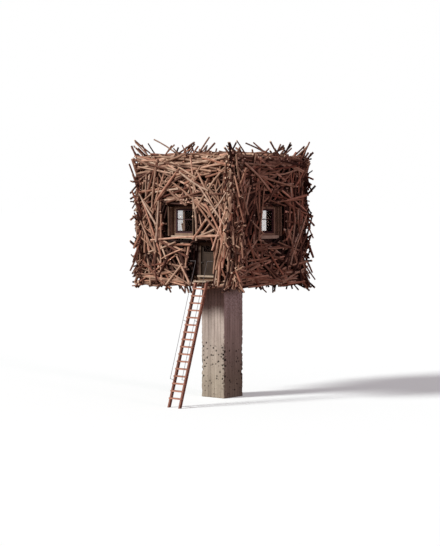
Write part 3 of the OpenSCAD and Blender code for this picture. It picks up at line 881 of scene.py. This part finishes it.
# where the painted shadow of the nest on the pillar begins
NEST_SHADOW_STARTS = 3.35
BLOOM_STARTS = 3.0
DAMP_ENDS = 2.9
BLOOM_COLOUR = (1.25, 1.32, 1.45)


def clamped(value):
    return max(0.0, min(1.0, value))


def pillar_ring(half, width):
    """One row of the pillar: x, y, normal x, normal y, side, place along the side."""
    along = []
    for i in range(BOARDS):
        u0 = -half + CUT_BACK + i * width
        along += [u0 + EDGE_INSET]
        along += [u0 + width * q for q in STEPS_ON_A_BOARD]
        along += [u0 + width - EDGE_INSET]
    ring = []
    for side, (nx, ny) in enumerate(((0, -1), (1, 0), (0, 1), (-1, 0))):
        tx = -ny
        ty = nx
        ring += [(nx * half + tx * u, ny * half + ty * u, nx, ny, side, u) for u in along]
        a = half - CUT_BACK * 0.3
        ring.append((nx * a + tx * a, ny * a + ty * a, (nx + tx) * 0.7071, (ny + ty) * 0.7071, side, half))
    return ring


def pillar_pits(rng, half):
    """Blow holes as (side, along, height, radius, depth), over the sides and thick at the arrises."""
    pits = []
    for _ in range(SIDE_PITS):
        side = rng.randrange(4)
        u = rng.uniform(-half + 0.08, half - 0.08)
        z = 0.25 + 2.1 * rng.random() ** 0.8
        radius = rng.uniform(0.022, 0.050)
        pits.append((side, u, z, radius, rng.uniform(0.018, 0.036)))
    for side in range(4):
        for way in (-1, 1):
            for _ in range(ARRIS_PITS):
                u = way * (half - rng.uniform(0.01, 0.12))
                z = rng.uniform(0.75, 2.15)
                radius = rng.uniform(0.026, 0.055)
                pits.append((side, u, z, radius, rng.uniform(0.02, 0.04)))
    return pits


def pillar_shade(tint, side, x, y, z):
    """The colour at a place: a painted shadow of the nest near the head, damp at the foot with painted
    shade added on the sides away from the sun, a pale bloom on those sides.
    """
    # the darkening towards the head is a painted shadow of the nest, the same on all four sides
    head = clamped((z - NEST_SHADOW_STARTS) / 1.2)
    foot = clamped((DAMP_ENDS - z) / 2.2)
    # every foot is darkened by damp; the extra darkening on the sides away from the sun is painted shade
    damp_and_shade = 0.42 if side in DAMP_AND_SHADED_SIDES else 0.18
    colour = (
        tint * (1 - 0.22 * head) * (1 - damp_and_shade * foot),
        tint * (1 - 0.28 * head) * (1 - (damp_and_shade - 0.02) * foot),
        tint * (1 - 0.24 * head) * (1 - (damp_and_shade + 0.06) * foot),
    )
    if side in DAMP_AND_SHADED_SIDES and z > BLOOM_STARTS:
        bloom = max(0.0, noise.noise(Vector((y * 16.0, x * 16.0, z * 16.0))) + 0.32)
        bloom *= min(1.0, (z - BLOOM_STARTS) / 1.2)
        colour = tuple(v + (w - v) * min(0.85, 1.9 * bloom) for v, w in zip(colour, BLOOM_COLOUR))
    return colour


def concrete_pillar(half, height):
    """Cast between upright boards: steps and fins at the joints, pits and chipped arrises low down,
    darkened there as painted shade.
    """
    rng = random.Random(77)
    width = 2 * (half - CUT_BACK) / BOARDS
    ring = pillar_ring(half, width)
    step = {(side, i): rng.uniform(-0.004, 0.004) for side in range(4) for i in range(BOARDS)}
    tints = {(side, i): rng.uniform(0.86, 1.06) for side in range(4) for i in range(BOARDS)}
    pits = pillar_pits(rng, half)
    verts = []
    shade = []
    for j in range(PILLAR_ROWS):
        z = height * j / (PILLAR_ROWS - 1)
        worn = clamped((DAMP_ENDS - z) / 0.7) * max(0.25, min(1.0, z / 0.5))
        for x, y, nx, ny, side, u in ring:
            corner = u >= half
            i = min(BOARDS - 1, max(0, int((u + half - CUT_BACK) / width)))
            wave = noise.noise(Vector((x * 1.3, y * 1.3, z * 0.6 + 3.0)))
            rough = noise.noise(Vector((x * 9.0, y * 9.0, z * 9.0)))
            d = 0.004 * wave + 0.0025 * rough
            tint = 1.0 + 0.10 * wave
            edge = half - abs(u)
            if corner or edge < ARRIS_WIDTH:
                place = Vector((nx + 5.0 * side + (0 if corner else 0.3), u * 4.0, z * 9.5))
                chip = max(0.0, noise.noise(place) + 0.20)
                reach = 0.078 if corner else 0.058 * (1 - edge / ARRIS_WIDTH)
                bite = reach * chip * (0.22 + 1.6 * worn)
                d -= bite
                # painted shade darkens the chipped hollows
                tint *= 1.0 - min(0.55, 8.0 * bite)
            if not corner:
                d += step[(side, i)]
                tint *= tints[(side, i)]
                past_joint = (u + half - CUT_BACK) % width
                if min(past_joint, width - past_joint) < 0.008 and edge > 0.05:
                    d += 0.003 if (i + side) % 2 else -0.006
                    tint *= 0.68 + 0.24 * worn
                for pit_side, pit_u, pit_z, radius, depth in pits:
                    if pit_side == side and abs(z - pit_z) < radius and abs(u - pit_u) < radius:
                        q = ((z - pit_z) ** 2 + (u - pit_u) ** 2) / radius ** 2
                        if q < 1:
                            d -= depth * (1 - q)
                            # painted shade darkens the pits
                            tint *= 1 - 0.90 * min(1.0, 1.6 * (1 - q))
            if j == 0 or j == PILLAR_ROWS - 1:
                d = min(d, 0.0)
            verts.append((x + nx * d, y + ny * d, z))
            shade.append(pillar_shade(tint, side, x, y, z))
    n = len(ring)
    last = PILLAR_ROWS - 1
    faces = [(j * n + i, j * n + (i + 1) % n, (j + 1) * n + (i + 1) % n, (j + 1) * n + i)
             for j in range(last) for i in range(n)]
    faces.append(tuple(reversed(range(n))))
    faces.append(tuple(range(last * n, PILLAR_ROWS * n)))
    smooth = [True] * (len(faces) - 2) + [False] * 2
    pillar = piece("board_marked_pillar", verts, faces, [CONCRETE], None, smooth)
    paint(pillar, "shade", shade)
    return pillar


made = concrete_pillar(PILLAR_HALF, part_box("pillar")[1].z)
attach(made, "house")
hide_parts("pillar")

# ------------------------------------------------------------ floor and light
FLOOR_SIZE = 6000
bpy.ops.mesh.primitive_plane_add(size=FLOOR_SIZE, location=(0, 0, 0))
floor = bpy.context.object
floor.name = "floor"
pale, nt, shader = new_material("pale_floor")
shader.inputs["Base Color"].default_value = (0.78, 0.86, 0.89, 1.0)
shader.inputs["Roughness"].default_value = 1.0
shader.inputs["Specular IOR Level"].default_value = 0.0
shader.inputs["Emission Color"].default_value = (1.0, 1.0, 1.0, 1.0)
shader.inputs["Emission Strength"].default_value = 0.25
# it looks pale, and lights the house from below no more than bare ground would
ground = nt.nodes.new("ShaderNodeBsdfDiffuse")
ground.inputs["Color"].default_value = (0.26, 0.18, 0.15, 1.0)
seen = nt.nodes.new("ShaderNodeLightPath")
both = nt.nodes.new("ShaderNodeMixShader")
nt.links.new(seen.outputs["Is Camera Ray"], both.inputs["Fac"])
nt.links.new(ground.outputs["BSDF"], both.inputs[1])
nt.links.new(shader.outputs["BSDF"], both.inputs[2])
nt.links.new(both.outputs["Shader"], nt.nodes["Material Output"].inputs["Surface"])
floor.data.materials.append(pale)

# the sky is white to the camera, and a faint rosy light to everything else
world_data = bpy.data.worlds.new("world")
scene.world = world_data
world_data.use_nodes = True
nt = world_data.node_tree
sky = nt.nodes["Background"]
sky.inputs["Color"].default_value = (1.0, 0.80, 0.86, 1.0)
sky.inputs["Strength"].default_value = 0.21
white = nt.nodes.new("ShaderNodeBackground")
white.inputs["Color"].default_value = (1.0, 1.0, 1.0, 1.0)
white.inputs["Strength"].default_value = 1.0
path = nt.nodes.new("ShaderNodeLightPath")
pick = nt.nodes.new("ShaderNodeMixShader")
nt.links.new(path.outputs["Is Camera Ray"], pick.inputs["Fac"])
nt.links.new(sky.outputs["Background"], pick.inputs[1])
nt.links.new(white.outputs["Background"], pick.inputs[2])
nt.links.new(pick.outputs["Shader"], nt.nodes["World Output"].inputs["Surface"])


def sun(name, strength, spread_degrees, colour, direction):
    data = bpy.data.lights.new(name, "SUN")
    data.energy = strength
    data.angle = math.radians(spread_degrees)
    data.color = colour
    light = bpy.data.objects.new(name, data)
    light.rotation_euler = Vector(direction).to_track_quat("-Z", "Y").to_euler()
    scene.collection.objects.link(light)


sun("key", 4.45, 14, (1.0, 0.95, 0.89), (0.45, 0.95, -0.62))
sun("fill", 0.74, 10, (1.0, 0.70, 0.76), (-0.80, 0.16, -0.14))
